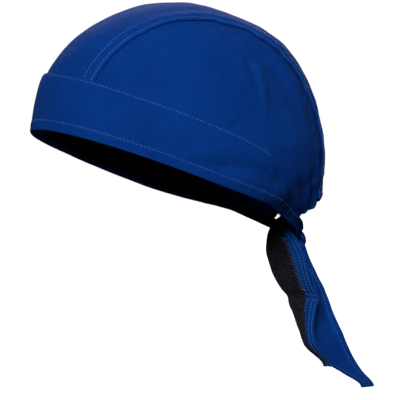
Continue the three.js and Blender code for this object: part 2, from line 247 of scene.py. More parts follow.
# A closed thin mesh from two grids of points in millimetres, with a UV map in metres of cloth
def clothMesh(name, outer, inner, material, worn=None, twist=False):
    rows, columns = outer.shape[:2]
    points = np.concatenate((outer.reshape(-1, 3), inner.reshape(-1, 3))) * mm
    at = np.arange(rows * columns).reshape(rows, columns)
    under = at + rows * columns

    def quads(a, b, c, d):
        return np.stack((a, b, c, d), axis=-1).reshape(-1, 4)

    faces = [
        quads(at[:-1, :-1], at[1:, :-1], at[1:, 1:], at[:-1, 1:]),
        quads(under[:-1, 1:], under[1:, 1:], under[1:, :-1], under[:-1, :-1]),
        quads(under[:-1, 0], under[1:, 0], at[1:, 0], at[:-1, 0]),
        quads(at[:-1, -1], at[1:, -1], under[1:, -1], under[:-1, -1]),
        quads(at[0, :-1], at[0, 1:], under[0, 1:], under[0, :-1]),
        quads(under[-1, :-1], under[-1, 1:], at[-1, 1:], at[-1, :-1]),
    ]
    faces = np.concatenate(faces)
    if twist:
        faces = faces[:, ::-1]
    mesh = bpy.data.meshes.new(name)
    mesh.from_pydata(points.tolist(), [], faces.tolist())
    u = np.zeros((rows, columns))
    v = np.zeros((rows, columns))
    u[1:] = np.cumsum(np.linalg.norm(np.diff(outer, axis=0), axis=2), axis=0)
    v[:, 1:] = np.cumsum(np.linalg.norm(np.diff(outer, axis=1), axis=2), axis=1)
    uv = np.stack((u - u[rows // 2], v), axis=-1).reshape(-1, 2) * mm
    uv = np.concatenate((uv, uv))
    layer = mesh.uv_layers.new(name="clothMap")
    corners = np.zeros(len(mesh.loops), dtype=np.int32)
    mesh.loops.foreach_get("vertex_index", corners)
    layer.data.foreach_set("uv", uv[corners].ravel().astype(np.float32))
    rub = np.zeros(rows * columns) if worn is None else np.asarray(worn, float).ravel()
    rubbed = mesh.attributes.new("worn", "FLOAT", "POINT")
    rubbed.data.foreach_set("value", np.concatenate((rub, rub * 0)).astype(np.float32))
    back = mesh.attributes.new("wrongSide", "FLOAT", "POINT")
    back.data.foreach_set("value", np.repeat((0.0, 1.0), rows * columns).astype(np.float32))
    mesh.shade_smooth()
    mesh.materials.append(material)
    piece = bpy.data.objects.new(name, mesh)
    bpy.context.scene.collection.objects.link(piece)
    return piece


def edged(count, tight=(0.0, 0.0016, 0.005, 0.011)):  # even spacing with close rows at both ends
    tight = np.asarray(tight)
    middle = np.linspace(tight[-1], 1 - tight[-1], count)
    return np.concatenate((tight[:-1], middle, 1 - tight[:-1][::-1]))


def roundEdge(distance, radius):  # 0 at a cut or folded edge, 1 one radius inside it
    t = np.clip(distance / radius, 0.0, 1.0)
    return np.sqrt(np.maximum(1 - (1 - t) ** 2, 0.0))


def walls(way, lift, wall, fromEdge, detail=0.0, radius=0.72):  # outer and inner points of a cloth with rounded edges
    body = 0.5 * wall * np.maximum(roundEdge(fromEdge, radius), 0.12)
    middle = lift + 0.5 * wall
    return shellPoint(way, middle + body + detail), shellPoint(way, middle - body)


# Materials
def node(tree, kind, place=(0, 0), **settings):
    made = tree.nodes.new(kind)
    made.location = place
    for key, value in settings.items():
        setattr(made, key, value)
    return made


def noiseNode(tree, source, scale, detail, roughness=0.5, seed=0.0):
    shift = node(tree, "ShaderNodeMapping")
    shift.inputs["Location"].default_value = (seed, seed * 0.7, -seed)
    tree.links.new(source, shift.inputs["Vector"])
    noise = node(tree, "ShaderNodeTexNoise")
    noise.inputs["Scale"].default_value = scale
    noise.inputs["Detail"].default_value = detail
    noise.inputs["Roughness"].default_value = roughness
    tree.links.new(shift.outputs["Vector"], noise.inputs["Vector"])
    return noise.outputs["Fac"]


def remap(tree, source, low, high, toLow, toHigh):
    ranged = node(tree, "ShaderNodeMapRange", clamp=True)
    for slot, value in (("From Min", low), ("From Max", high), ("To Min", toLow), ("To Max", toHigh)):
        ranged.inputs[slot].default_value = value
    tree.links.new(source, ranged.inputs["Value"])
    return ranged.outputs["Result"]


def compute(tree, operation, a, b):
    made = node(tree, "ShaderNodeMath", operation=operation)
    for slot, value in ((0, a), (1, b)):
        if isinstance(value, (int, float)):
            made.inputs[slot].default_value = value
        else:
            tree.links.new(value, made.inputs[slot])
    return made.outputs[0]


def blendColour(tree, factor, a, b, kind="MIX"):
    made = node(tree, "ShaderNodeMix", data_type="RGBA", blend_type=kind)
    if isinstance(factor, (int, float)):
        made.inputs[0].default_value = factor
    else:
        tree.links.new(factor, made.inputs[0])
    for slot, value in ((6, a), (7, b)):
        if isinstance(value, tuple):
            made.inputs[slot].default_value = (*value, 1.0)
        else:
            tree.links.new(value, made.inputs[slot])
    return made.outputs[2]


def bumped(tree, height, distance, strength, under=None):
    made = node(tree, "ShaderNodeBump")
    made.inputs["Strength"].default_value = strength
    made.inputs["Distance"].default_value = distance
    tree.links.new(height, made.inputs["Height"])
    if under is not None:
        tree.links.new(under, made.inputs["Normal"])
    return made.outputs["Normal"]


def bands(tree, source, pitch, direction):
    wave = node(tree, "ShaderNodeTexWave", wave_type="BANDS", bands_direction=direction, wave_profile="SIN")
    wave.inputs["Scale"].default_value = (math.pi / 10) / (pitch * mm) * (1.0 if direction != "DIAGONAL" else 1.414)
    wave.inputs["Distortion"].default_value = 0.0
    tree.links.new(source, wave.inputs["Vector"])
    return wave.outputs["Fac"]


cottonLook = {
    "colour": (0.0, 0.037, 0.235),
    "faded": (0.001, 0.056, 0.285),
    "deep": (0.0, 0.028, 0.19),
    "wrongSide": (0.0, 0.038, 0.21),
    "weavePitch": 0.52,
    "roughness": (0.72, 0.9),
    "sheen": 0.02,
}


def cottonMaterial(name, look, turn=0.0):
    material = bpy.data.materials.new(name)
    material.use_nodes = True
    tree = material.node_tree
    shader = tree.nodes["Principled BSDF"]
    place = node(tree, "ShaderNodeTexCoord").outputs["Object"]
    cloth = node(tree, "ShaderNodeUVMap", uv_map="clothMap").outputs["UV"]
    turned = node(tree, "ShaderNodeMapping")
    turned.inputs["Rotation"].default_value = (0.0, 0.0, turn)
    tree.links.new(cloth, turned.inputs["Vector"])
    weave = turned.outputs["Vector"]
    warp = bands(tree, weave, look["weavePitch"], "X")
    weft = bands(tree, weave, look["weavePitch"] * 1.15, "Y")
    rib = bands(tree, weave, look["weavePitch"] * 1.6, "DIAGONAL")
    threads = compute(tree, "ADD", compute(tree, "MULTIPLY", warp, weft), compute(tree, "MULTIPLY", rib, 0.6))
    faint = noiseNode(tree, place, 24.0, 3.0, 0.55, 1.3)
    mottled = noiseNode(tree, place, 170.0, 3.0, 0.6, 4.1)
    slub = noiseNode(tree, place, 1100.0, 2.0, 0.5, 7.7)
    colour = blendColour(tree, remap(tree, faint, 0.35, 0.7, 0.0, 1.0), look["deep"], look["colour"])
    colour = blendColour(tree, remap(tree, mottled, 0.5, 0.8, 0.0, 0.35), colour, look["faded"])
    colour = blendColour(tree, remap(tree, slub, 0.45, 0.75, 0.0, 0.3), colour, look["faded"])
    worn = node(tree, "ShaderNodeAttribute", attribute_name="worn").outputs["Fac"]
    patchy = compute(tree, "MULTIPLY", worn, remap(tree, mottled, 0.3, 0.65, 0.35, 1.0))
    colour = blendColour(tree, patchy, colour, look["faded"])
    wrong = node(tree, "ShaderNodeAttribute", attribute_name="wrongSide").outputs["Fac"]
    colour = blendColour(tree, compute(tree, "MULTIPLY", wrong, 0.7), colour, look["wrongSide"])
    colour = blendColour(tree, remap(tree, threads, 0.0, 1.5, 0.35, 0.0), colour, look["deep"])
    tree.links.new(colour, shader.inputs["Base Color"])
    tree.links.new(remap(tree, slub, 0.3, 0.7, *look["roughness"]), shader.inputs["Roughness"])
    crumple = bumped(tree, noiseNode(tree, place, 95.0, 4.0, 0.55, 2.2), 0.0016, 0.5)
    grain = bumped(tree, mottled, 0.0006, 0.45, crumple)
    tree.links.new(bumped(tree, threads, 0.00016, 0.8, grain), shader.inputs["Normal"])
    shader.inputs["Sheen Weight"].default_value = look["sheen"]
    shader.inputs["Sheen Roughness"].default_value = 0.45
    shader.inputs["Sheen Tint"].default_value = (0.25, 0.5, 1.0, 1.0)
    shader.inputs["Specular IOR Level"].default_value = 0.06
    return material


def threadMaterial(name, colour, light):
    material = bpy.data.materials.new(name)
    material.use_nodes = True
    tree = material.node_tree
    shader = tree.nodes["Principled BSDF"]
    place = node(tree, "ShaderNodeTexCoord").outputs["Object"]
    spun = noiseNode(tree, place, 1600.0, 2.0, 0.5, 3.0)
    tree.links.new(blendColour(tree, remap(tree, spun, 0.35, 0.65, 0.0, 1.0), colour, light),
                   shader.inputs["Base Color"])
    tree.links.new(remap(tree, spun, 0.3, 0.7, 0.5, 0.7), shader.inputs["Roughness"])
    tree.links.new(bumped(tree, spun, 0.0002, 0.6), shader.inputs["Normal"])
    shader.inputs["Sheen Weight"].default_value = 0.1
    return material


def towellingMaterial(name):
    material = bpy.data.materials.new(name)
    material.use_nodes = True
    tree = material.node_tree
    shader = tree.nodes["Principled BSDF"]
    place = node(tree, "ShaderNodeTexCoord").outputs["Object"]
    clumpAndGlints = noiseNode(tree, place, 430.0, 3.0, 0.6, 5.0)
    loops = node(tree, "ShaderNodeTexVoronoi", feature="SMOOTH_F1")
    loops.inputs["Scale"].default_value = 620.0
    tree.links.new(place, loops.inputs["Vector"])
    # The lighter speckle in this colour is painted glints of the loops, mixed over the near-black towelling; the same
    # noise also sets roughness and nap.
    colour = blendColour(tree, remap(tree, clumpAndGlints, 0.35, 0.7, 0.0, 1.0), (0.0022, 0.0024, 0.0036), (0.017, 0.0145, 0.022))
    tree.links.new(colour, shader.inputs["Base Color"])
    tree.links.new(remap(tree, clumpAndGlints, 0.3, 0.7, 0.85, 1.0), shader.inputs["Roughness"])
    nap = bumped(tree, loops.outputs["Distance"], 0.0009, 0.9, bumped(tree, clumpAndGlints, 0.0012, 0.6))
    tree.links.new(nap, shader.inputs["Normal"])
    shader.inputs["Sheen Weight"].default_value = 0.04
    shader.inputs["Sheen Roughness"].default_value = 0.6
    shader.inputs["Sheen Tint"].default_value = (0.7, 0.6, 0.75, 1.0)
    shader.inputs["Specular IOR Level"].default_value = 0.08
    return material


blueCotton = cottonMaterial("blueCotton", cottonLook)
crossCotton = cottonMaterial("blueCottonCross", cottonLook, math.radians(90))
blueThread = threadMaterial("blueThread", (0.012, 0.08, 0.30), (0.035, 0.145, 0.41))
blackTowelling = towellingMaterial("blackTowelling")
print("materials made")

surfaces = {}  # each piece's outer face as a function, for its stitches
liningFaces = {}  # the towelling faces that carry loops

# Crown: places along the centre panel, 0 at the brow, 90 at the top and 180 at the back
def panelHeading(along, aside):
    a, turn = np.radians(along), np.arcsin(np.clip(aside / crown["seamReach"], -1, 1))
    parts = np.broadcast_arrays(np.sin(turn), -np.cos(turn) * np.cos(a), np.cos(turn) * np.sin(a))
    return np.stack(parts, axis=-1)


centreLook = {"steps": 230, "strips": 74, "edgeWave": 0.5, "pucker": 0.22}


def centreHalf(along):
    wave = np.sin(np.radians(along) * 21.0 + 1.0) + 0.7 * np.sin(np.radians(along) * 43.0)
    slack = smooth(along, 70, 115)
    return columnAt(centreRun, "along", "half", along) * crown["centreHalf"] + centreLook["edgeWave"] * wave * slack


def seamPucker(way, toSeam, near=3.2, reach=4.2):  # small gathers that the seam's rows draw in
    spots = way * hollow["rise"]
    across = np.exp(-(((toSeam - near) / reach) ** 2))
    return across * cloud(spots, 7.5, 21)


def centreFace(along, spread):  # spread runs from -1 on the wearer's left to 1 on the right
    half = centreHalf(along)
    way = panelHeading(along, -half * spread)
    toSeam = half * (1 - np.abs(spread))
    toHem = np.radians(hemAlong - along) * hollow["rise"]
    ridge = layers["ridge"] * (1 - smooth(toSeam, crown["allowance"], crown["allowance"] + 1.6))
    fold = layers["hemFold"] * (1 - smooth(toHem, crown["hemHeight"], crown["hemHeight"] + 1.2))
    wall = layers["cloth"] + np.maximum(ridge, fold)
    grooves = -0.2 * np.exp(-(((toSeam - 1.6) / 0.5) ** 2)) - 0.2 * np.exp(-(((toSeam - 6.0) / 0.5) ** 2))
    grooves -= 0.2 * np.exp(-(((toHem - 4.2) / 0.5) ** 2))
    settle = -0.5 * (1 - smooth(toSeam, 0.0, 3.6)) * smooth(toHem, 0.0, 6.0)
    detail = grooves + centreLook["pucker"] * seamPucker(way, toSeam)
    return way, wall + 0.5 * settle, np.minimum(toSeam, toHem), detail, 0.9 * settle


alongs = mix(browAlong, hemAlong, edged(centreLook["steps"], (0.0, 0.0006, 0.0014, 0.0026)))
spreads = mix(-1.0, 1.0, edged(centreLook["strips"], (0.0, 0.0025, 0.007, 0.014)))
alongGrid, spreadGrid = np.meshgrid(alongs, spreads, indexing="ij")
way, wall, fromEdge, detail, settle = centreFace(alongGrid, spreadGrid)
outer, inner = walls(way, centreLift + settle, wall, fromEdge, detail, 1.0)
toSeamGrid = centreHalf(alongGrid) * (1 - np.abs(spreadGrid))
worn = 0.45 * np.exp(-((toSeamGrid / 1.4) ** 2)) + 0.12 * np.exp(-(((toSeamGrid - 3.8) / 1.2) ** 2))
crownCentre = clothMesh("crownCentre", outer, inner, blueCotton, worn, twist=True)
surfaces["centre"] = lambda along, spread: (lambda w, t, e, d, s: shellPoint(w, centreLift + s + t + d))(*centreFace(along, spread))
print("centre panel", len(crownCentre.data.polygons), "faces")


sideLook = {"steps": 210, "rows": 84, "pucker": 0.25, "hemRow": 4.2, "girth": 250.0}


def sideWay(side, t, rise):  # t from the temple to the nape, rise from the band up to the seam
    along = mix(browAlong + 3, hemAlong, t)
    half = columnAt(centreRun, "along", "half", along) * crown["centreHalf"] - crown["allowance"]
    top = panelHeading(along, half)
    foot = panelHeading(np.array(browAlong + 3), columnAt(centreRun, "along", "half", browAlong + 3)
                        * crown["centreHalf"] - crown["allowance"])
    start = math.degrees(math.atan2(abs(foot[0]), -foot[1]))
    azimuth = mix(start, crown["hemEnd"], t)
    low = bandHeading(azimuth, tuckHeight(azimuth))
    way = mix(low, top, rise[..., None])
    way /= np.linalg.norm(way, axis=-1, keepdims=True)
    way[..., 0] *= side
    return way


def sideFace(side, t, rise):
    way = sideWay(side, t, rise)
    along = mix(browAlong + 3, hemAlong, t)
    toHem = (1 - t) * sideLook["girth"]
    bare = smooth(rise, 0.15, 0.35) * (1 - smooth(rise, 0.6, 0.85))
    fold = layers["hemFold"] * (1 - smooth(toHem, crown["hemHeight"], crown["hemHeight"] + 1.2))
    wall = layers["cloth"] + fold * bare
    aside = np.arcsin(np.clip(np.abs(way[..., 0]), 0, 1))
    seamAside = np.arcsin(np.clip(centreHalf(along) / crown["seamReach"], -1, 1))
    toSeam = (aside - seamAside) * 82.0
    shown = smooth(toSeam, 0.3, 3.0)
    detail = sideLook["pucker"] * seamPucker(way, toSeam, 4.0, 4.5) * shown
    detail = detail + 0.3 * np.exp(-(((toSeam - 5.5) / 3.0) ** 2)) * shown
    detail = detail - 0.2 * np.exp(-(((toHem - 4.2) / 0.5) ** 2)) * bare
    return way, wall, detail, toHem


panels = []
for side, label in ((1, "Left"), (-1, "Right")):
    steps = edged(sideLook["steps"], (0.0, 0.0006, 0.0014, 0.0026))
    rises = edged(sideLook["rows"], (0.0, 0.002, 0.006, 0.012))
    stepGrid, riseGrid = np.meshgrid(steps, rises, indexing="ij")
    way, wall, detail, toHem = sideFace(side, stepGrid, riseGrid)
    fromEdge = np.minimum(np.minimum(stepGrid, 1 - stepGrid) * 300, np.minimum(riseGrid, 1 - riseGrid) * 120)
    outer, inner = walls(way, sideLift, wall, fromEdge, detail)
    worn = 0.3 * np.exp(-((toHem / 1.4) ** 2))
    panels.append(clothMesh(f"crownSide{label}", outer, inner, blueCotton, worn, twist=side < 0))
crownSideLeft, crownSideRight = panels
surfaces["side"] = lambda side, t, rise: (lambda w, l, d, h: shellPoint(w, sideLift + l + d))(*sideFace(side, t, rise))
print("side panels", len(crownSideLeft.data.polygons), "faces each")


# Brow band: folded and stitched along its lower edge, gathered into the knot at both ends
bandLook = {"steps": 470, "rows": 54, "hemRow": 6.6, "topRow": 1.5, "pleats": 4.6, "pleatDepth": 1.1, "reach": 175.6}


def bandLiftAt(azimuth):
    foot = math.degrees(math.asin(crown["centreHalf"] / crown["seamReach"]))
    side = smooth(np.abs(azimuth), foot, foot + 20)
    return mix(bandLift, bandSideLift + gather(azimuth) * layers["gap"], side)


def bandFace(azimuth, height):  # height over the lower edge in millimetres
    lower, upper = bandEdges(azimuth)
    way = bandHeading(azimuth, lower + height)
    gathered = gather(azimuth)
    wall = layers["cloth"] * mix(1.0, band["gatheredWall"], gathered)
    toTop = upper - lower - height
    up = height / (upper - lower)
    crowded = smooth(np.abs(azimuth), 118, 168)
    pleats = np.sin(2 * math.pi * (bandLook["pleats"] * up + 0.35 * np.sin(np.radians(azimuth) * 9)))
    pleats = pleats + 0.5 * np.sin(2 * math.pi * (2.3 * bandLook["pleats"] * up + 0.1))
    hem = 0.35 * (1 - smooth(height, bandLook["hemRow"], bandLook["hemRow"] + 1.4)) * (1 - gathered)
    rows = -0.28 * np.exp(-(((height - bandLook["hemRow"]) / 0.55) ** 2))
    rows = rows - 0.28 * np.exp(-(((toTop - bandLook["topRow"]) / 0.5) ** 2)) * (1 - crowded)
    spots = way * hollow["rise"]
    nearRow = np.exp(-(((height - bandLook["hemRow"]) / 4.0) ** 2)) + 0.8 * np.exp(-(((toTop - 2.0) / 3.6) ** 2))
    pucker = 0.2 * nearRow * cloud(spots, 8.0, 33)
    detail = hem + rows * (1 - 0.6 * crowded) + pucker + bandLook["pleatDepth"] * crowded * pleats * 0.5
    return way, wall, np.minimum(height, toTop), detail


azimuths = np.linspace(-bandLook["reach"], bandLook["reach"], bandLook["steps"])
ups = edged(bandLook["rows"], (0.0, 0.004, 0.012, 0.024))
azimuthGrid, upGrid = np.meshgrid(azimuths, ups, indexing="ij")
lower, upper = bandEdges(azimuthGrid)
way, wall, fromEdge, detail = bandFace(azimuthGrid, upGrid * (upper - lower))
outer, inner = walls(way, bandLiftAt(azimuthGrid), wall, fromEdge, detail, 1.1)
rubbed = 0.5 * np.exp(-((fromEdge / 1.3) ** 2)) * (1 - gather(azimuthGrid))
browBand = clothMesh("browBand", outer, inner, blueCotton, rubbed)
surfaces["band"] = lambda azimuth, height: (
    lambda w, t, e, d: shellPoint(w, bandLiftAt(azimuth) + t + d))(*bandFace(azimuth, height))
print("brow band", len(browBand.data.polygons), "faces")


# Towelling sweatband under the brow band
sweatLook = {"steps": 330, "rows": 26, "nap": 0.12}
azimuths = np.linspace(-band["end"] + 2, band["end"] - 2, sweatLook["steps"])
ups = edged(sweatLook["rows"], (0.0, 0.006, 0.016, 0.03))
azimuthGrid, upGrid = np.meshgrid(azimuths, ups, indexing="ij")
lower, upper = bandEdges(azimuthGrid)
inset = band["liningInset"] / band["width"] + 0.15 * smooth(np.abs(azimuthGrid), 158, band["end"] - 2)
height = mix(inset, 1 - inset, upGrid) * (upper - lower)
way = bandHeading(azimuthGrid, lower + height)
nap = sweatLook["nap"] * cloud(way * hollow["rise"], 3.4, 44)
fromEdge = np.minimum(upGrid, 1 - upGrid) * (upper - lower)
body = 0.5 * layers["lining"] * np.maximum(roundEdge(fromEdge, 0.7), 0.12)
outer = shellPoint(way, 0.5 * layers["lining"] + body)
inner = shellPoint(way, 0.5 * layers["lining"] - body + nap)
sweatband = clothMesh("sweatbandTowelling", outer, inner, blackTowelling)
liningFaces["sweatband"] = inner
print("sweatband", len(sweatband.data.polygons), "faces")


# Half knot: two bunched strands turned about each other
knotLook = {"levels": 120, "sides": 72, "pleats": 7, "pleatDepth": 0.42}
knotCentre = np.array((0.0, knot["reach"], -knot["drop"]))


def strandPoints(side):
    t, ring = np.meshgrid(np.linspace(0, 1, knotLook["levels"]), np.linspace(0, 2 * math.pi, knotLook["sides"] + 1)[:-1],
                          indexing="ij")
    turn = np.radians(knot["turn"] * (1 - t) + 90 * (1 - side))
    swell = (0.8 + 0.2 * np.sin(math.pi * t)) * mix(1.0, knot["head"], smooth(t, 0.35, 0.7))
    pleats = knotLook["pleatDepth"] * (np.abs(np.sin(ring * knotLook["pleats"] / 2 + 1.7 * t + side)) - 0.6)
    closing = roundEdge(np.minimum(t, 1 - t) * knot["height"], 3.0)
    radius = (swell + pleats / (knot["thick"] / 2)) * np.maximum(closing, 0.05)
    outward = layers["gap"] / 2 + (knot["thick"] / 2) * (radius * 0.96 * np.cos(ring) + swell)
    sideways = (knot["broad"] / 2) * radius * np.sin(ring)
    x = outward * np.cos(turn) - sideways * np.sin(turn)
    y = outward * np.sin(turn) + sideways * np.cos(turn)
    return np.stack((x * knot["spread"], y * knot["flat"], (t - 1) * knot["height"]), axis=-1) + knotCentre


def strandMesh(name, points, material):
    levels, sides = points.shape[:2]
    at = np.arange(levels * sides).reshape(levels, sides)
    ahead = np.roll(at, -1, axis=1)
    faces = np.stack((at[:-1], ahead[:-1], ahead[1:], at[1:]), axis=-1).reshape(-1, 4).tolist()
    faces += [at[0, ::-1].tolist(), at[-1].tolist()]
    mesh = bpy.data.meshes.new(name)
    mesh.from_pydata((points.reshape(-1, 3) * mm).tolist(), [], faces)
    u = np.linspace(0, 0.04, levels)[:, None] + np.zeros((levels, sides))
    v = np.linspace(0, 0.03, sides)[None, :] + np.zeros((levels, sides))
    uv = np.stack((u, v), axis=-1).reshape(-1, 2)
    layer = mesh.uv_layers.new(name="clothMap")
    corners = np.zeros(len(mesh.loops), dtype=np.int32)
    mesh.loops.foreach_get("vertex_index", corners)
    layer.data.foreach_set("uv", uv[corners].ravel().astype(np.float32))
    for label in ("worn", "wrongSide"):
        mesh.attributes.new(label, "FLOAT", "POINT")
    mesh.shade_smooth()
    mesh.materials.append(material)
    piece = bpy.data.objects.new(name, mesh)
    bpy.context.scene.collection.objects.link(piece)
    return piece


knotLeft = strandMesh("knotLeftTurn", strandPoints(1), blueCotton)
knotRight = strandMesh("knotRightTurn", strandPoints(-1), blueCotton)
print("knot turns made")


# Tails by their rear edges, as shares of the tie's width and of the drop
longTail = {
    "down": (-0.14, 0.0, 0.08, 0.25, 0.42, 0.6, 0.78, 0.88, 1.0),
    "side": (-0.02, -0.07, -0.03, 0.02, 0.06, 0.08, 0.05, 0.03, 0.0),
    "back": (0.1, 0.22, 0.32, 0.55, 0.74, 0.94, 1.19, 1.36, 1.62),
    "width": (0.16, 0.34, 0.45, 0.62, 0.8, 0.95, 0.88, 0.56, 0.34),
    "facing": (152, 149, 146, 140, 127, 118, 115, 115, 117),
    "cup": (0.0, 0.0, 0.03, 0.06, 0.11, 0.11, 0.06, 0.02, 0.0),
    "wall": (1.6, 1.6, 1.3, 1, 1, 1, 1, 1, 1),
    "flip": (0.0, 0.0, 0.02, 0.04, 0.04, 0.03, 0.0, 0.0, 0.0),
}
shortTail = {
    "down": (-0.04, 0.0, 0.05, 0.1, 0.18, 0.25, 0.38, 0.48, 0.53, 0.58, 0.65, 0.73, 0.8, 0.87, 1.0),
    "side": (0.1, 0.2, 0.29, 0.37, 0.44, 0.5, 0.58, 0.62, 0.64, 0.66, 0.66, 0.66, 0.66, 0.66, 0.62),
    "back": (-0.1, -0.17, -0.21, -0.2, -0.08, -0.03, 0.02, 0.12, 0.2, 0.15, 0.11, 0.09, 0.12, 0.19, 0.54),
    "width": (0.2, 0.34, 0.5, 0.66, 0.89, 0.99, 0.99, 0.92, 0.87, 0.76, 0.57, 0.42, 0.35, 0.31, 0.25),
    "facing": (198, 200, 201, 202, 204, 203, 200, 200, 200, 200, 200, 200, 200, 202, 204),
    "cup": (0.0, 0.0, 0.0, -0.01, -0.02, -0.03, -0.05, -0.05, -0.05, -0.04, -0.04, -0.03, -0.02, -0.01, 0.0),
    "wall": (1.5, 1.5, 1.45, 1.4, 1.1, 1, 1, 1, 1, 1, 1, 1, 1, 1, 1),
    "flip": (0.0, 0.0, 0.0, 0.0, 0.0, 0.0, 0.0, 0.0, 0.0, 0.0, 0.0, 0.0, 0.0, 0.0, 0.0),
}
longRoot = np.array((0.0, tie["reach"], -knot["drop"] - knot["height"] - layers["gap"]))
shortRoot = np.array((0.0, tie["reach"], -knot["drop"] + layers["gap"]))
tailLook = {"stations": 150, "strips": 46, "buckle": 0.4, "edgeRow": 4.6, "stripRows": (1.8, 5.4, 11.4),
            "coverTo": 0.05, "nap": 0.3, "seamAt": 0.53, "seamRows": (-1.6, 1.6)}


def terry(across, down):  # rows of soft lumps, as the towelling's loops stand
    spots = np.stack((across, down, across * 0), axis=-1)
    shift = 0.35 * cloud(spots, 6.0, 71)
    lumps = np.abs(np.sin(math.pi * (across / 1.7 + shift)) * np.sin(math.pi * (down / 1.9 - shift)))
    return np.sqrt(lumps) - 0.6 + 0.3 * cloud(spots, 4.0, 72)


def tailPoint(table, root, drop, hand, t, off, depth):  # off runs across from the rear edge, in millimetres
    width = columnAt(table, "down", "width", t) * tie["width"]
    facing = np.radians(columnAt(table, "down", "facing", t))
    outward = np.stack((np.sin(facing), -np.cos(facing), np.zeros_like(facing)), axis=-1)
    across = np.stack((outward[..., 1], -outward[..., 0], np.zeros_like(facing)), axis=-1) * hand
    share = off / width
    bow = columnAt(table, "down", "cup", t) * tie["width"] * 4 * share * (1 - share)
    base = np.stack((columnAt(table, "down", "side", t) * tie["width"],
                     columnAt(table, "down", "back", t) * tie["width"], -t * drop), axis=-1)
    spot = base + across * off[..., None] + root
    slack = smooth(t, 0.02, 0.2)
    buckle = tailLook["buckle"] * slack * (cloud(spot, 36.0, 61) + 0.4 * cloud(spot, 14.0, 62))
    buckle = buckle + mix(1.0, 0.25, slack) * 0.9 * np.sin(share * 2 * math.pi * 3.0)
    buckle = buckle + columnAt(table, "down", "flip", t) * tie["width"] * smooth(share, 0.72, 1.0)
    return spot + outward * (depth - bow + buckle)[..., None]


def tailPiece(name, table, root, drop, hand, lining):
    rows = edged(tailLook["stations"], (0.0, 0.001, 0.003, 0.006))
    strips = edged(tailLook["strips"], (0.0, 0.005, 0.015, 0.03))
    top = table["down"][0]
    t, share = np.meshgrid(mix(top, 1.0, rows), strips, indexing="ij")
    width = columnAt(table, "down", "width", t) * tie["width"]
    wall = layers["cloth"] * columnAt(table, "down", "wall", t)
    ends = np.minimum(t - top, 1 - t) * drop
    if lining:
        fit = np.minimum(1, width / tie["width"] + 0.2)
        covered = 1 - smooth(t, tailLook["coverTo"], tailLook["coverTo"] + 0.09)
        low, high = mix(tie["rearHem"] * fit, tie["frontHem"] * fit, covered), width - tie["frontHem"] * fit
        off = mix(low, high, share)
        body = 0.5 * layers["lining"] * np.maximum(roundEdge(np.minimum(np.minimum(off - low, high - off), ends), 0.7), 0.12)
        middle = -layers["gap"] - 0.5 * layers["lining"]
        nap = tailLook["nap"] * terry(off, t * drop)
        outer = tailPoint(table, root, drop, hand, t, off, middle + body)
        inner = tailPoint(table, root, drop, hand, t, off, middle - body + nap)
        liningFaces[name] = inner
        return clothMesh(name, outer, inner, blackTowelling, twist=hand < 0)
    off = width * share
    edge = np.minimum(np.minimum(off, width - off), ends)
    body = 0.5 * wall * np.maximum(roundEdge(edge, 0.6), 0.12)
    groove = -0.2 * np.exp(-(((edge - tailLook["edgeRow"]) / 0.55) ** 2))
    fold = 0.25 * (1 - smooth(edge, tailLook["edgeRow"], tailLook["edgeRow"] + 1.0))
    turned = off < tie["rearHem"]
    turnedWall = 0.35 * (1 - smooth(off, tie["rearHem"] - 1.6, tie["rearHem"] - 0.4))
    outer = tailPoint(table, root, drop, hand, t, off, 0.5 * wall + body + groove + fold)
    rowsIn = np.zeros_like(off)
    for row in tailLook["stripRows"]:
        rowsIn = rowsIn + 0.25 * np.exp(-(((off - row) / 0.5) ** 2)) * turned
    seam = 0.0
    if hand < 0:  # the strip is joined across at its bend
        fromSeam = (t - tailLook["seamAt"]) * drop
        seam = turned * (0.55 * np.exp(-((fromSeam / 1.1) ** 2)) - 0.4 * np.exp(-(((fromSeam - 1.7) / 0.6) ** 2)))
    inner = tailPoint(table, root, drop, hand, t, off, 0.5 * wall - body - turnedWall + rowsIn - seam)
    worn = 0.45 * np.exp(-((edge / 1.2) ** 2))
    return clothMesh(name, outer, inner, crossCotton, worn, twist=hand < 0)


tailLong = tailPiece("tailLong", longTail, longRoot, tie["longDrop"], 1, False)
tailLongLining = tailPiece("tailLongLining", longTail, longRoot, tie["longDrop"], 1, True)
tailShort = tailPiece("tailShort", shortTail, shortRoot, tie["shortDrop"], -1, False)
tailShortLining = tailPiece("tailShortLining", shortTail, shortRoot, tie["shortDrop"], -1, True)
print("tails made")


# Stitches: each row is a path over its cloth, and one tree sets a stitch at every pitch
stitchLook = {"pitch": 2.9, "length": 2.15, "thread": 0.23, "arch": 0.22, "sink": 0.2, "seed": 4}


def rowsMesh(name, rows):  # rows are (points, normals) in millimetres
    points, edges, leans = [], [], []
    for path, lean in rows:
        start = len(points)
        points += (path * mm).tolist()
        leans += lean.tolist()
        edges += [(start + n, start + n + 1) for n in range(len(path) - 1)]
    mesh = bpy.data.meshes.new(name)
    mesh.from_pydata(points, edges, [])
    field = mesh.attributes.new("lean", "FLOAT_VECTOR", "POINT")
    field.data.foreach_set("vector", np.asarray(leans, np.float32).ravel())
    piece = bpy.data.objects.new(name, mesh)
    bpy.context.scene.collection.objects.link(piece)
    return piece


def facing(surface, a, b, flip=1.0):  # path points and normals of a surface function along two arrays
    path = surface(a, b)
    ahead = np.gradient(path, axis=0)
    nudged = surface(a, b + 0.01)
    lean = np.cross(ahead, nudged - path)
    lean /= np.maximum(np.linalg.norm(lean, axis=-1, keepdims=True), 1e-9)
    return path, lean * flip


def newTree(name, inputs):
    tree = bpy.data.node_groups.new(name, "GeometryNodeTree")
    tree.is_modifier = True
    tree.interface.new_socket("Geometry", in_out="INPUT", socket_type="NodeSocketGeometry")
    for label, kind in inputs:
        tree.interface.new_socket(label, in_out="INPUT", socket_type=kind)
    tree.interface.new_socket("Geometry", in_out="OUTPUT", socket_type="NodeSocketGeometry")
    entry = tree.nodes.new("NodeGroupInput")
    leave = tree.nodes.new("NodeGroupOutput")
    return tree, entry, leave


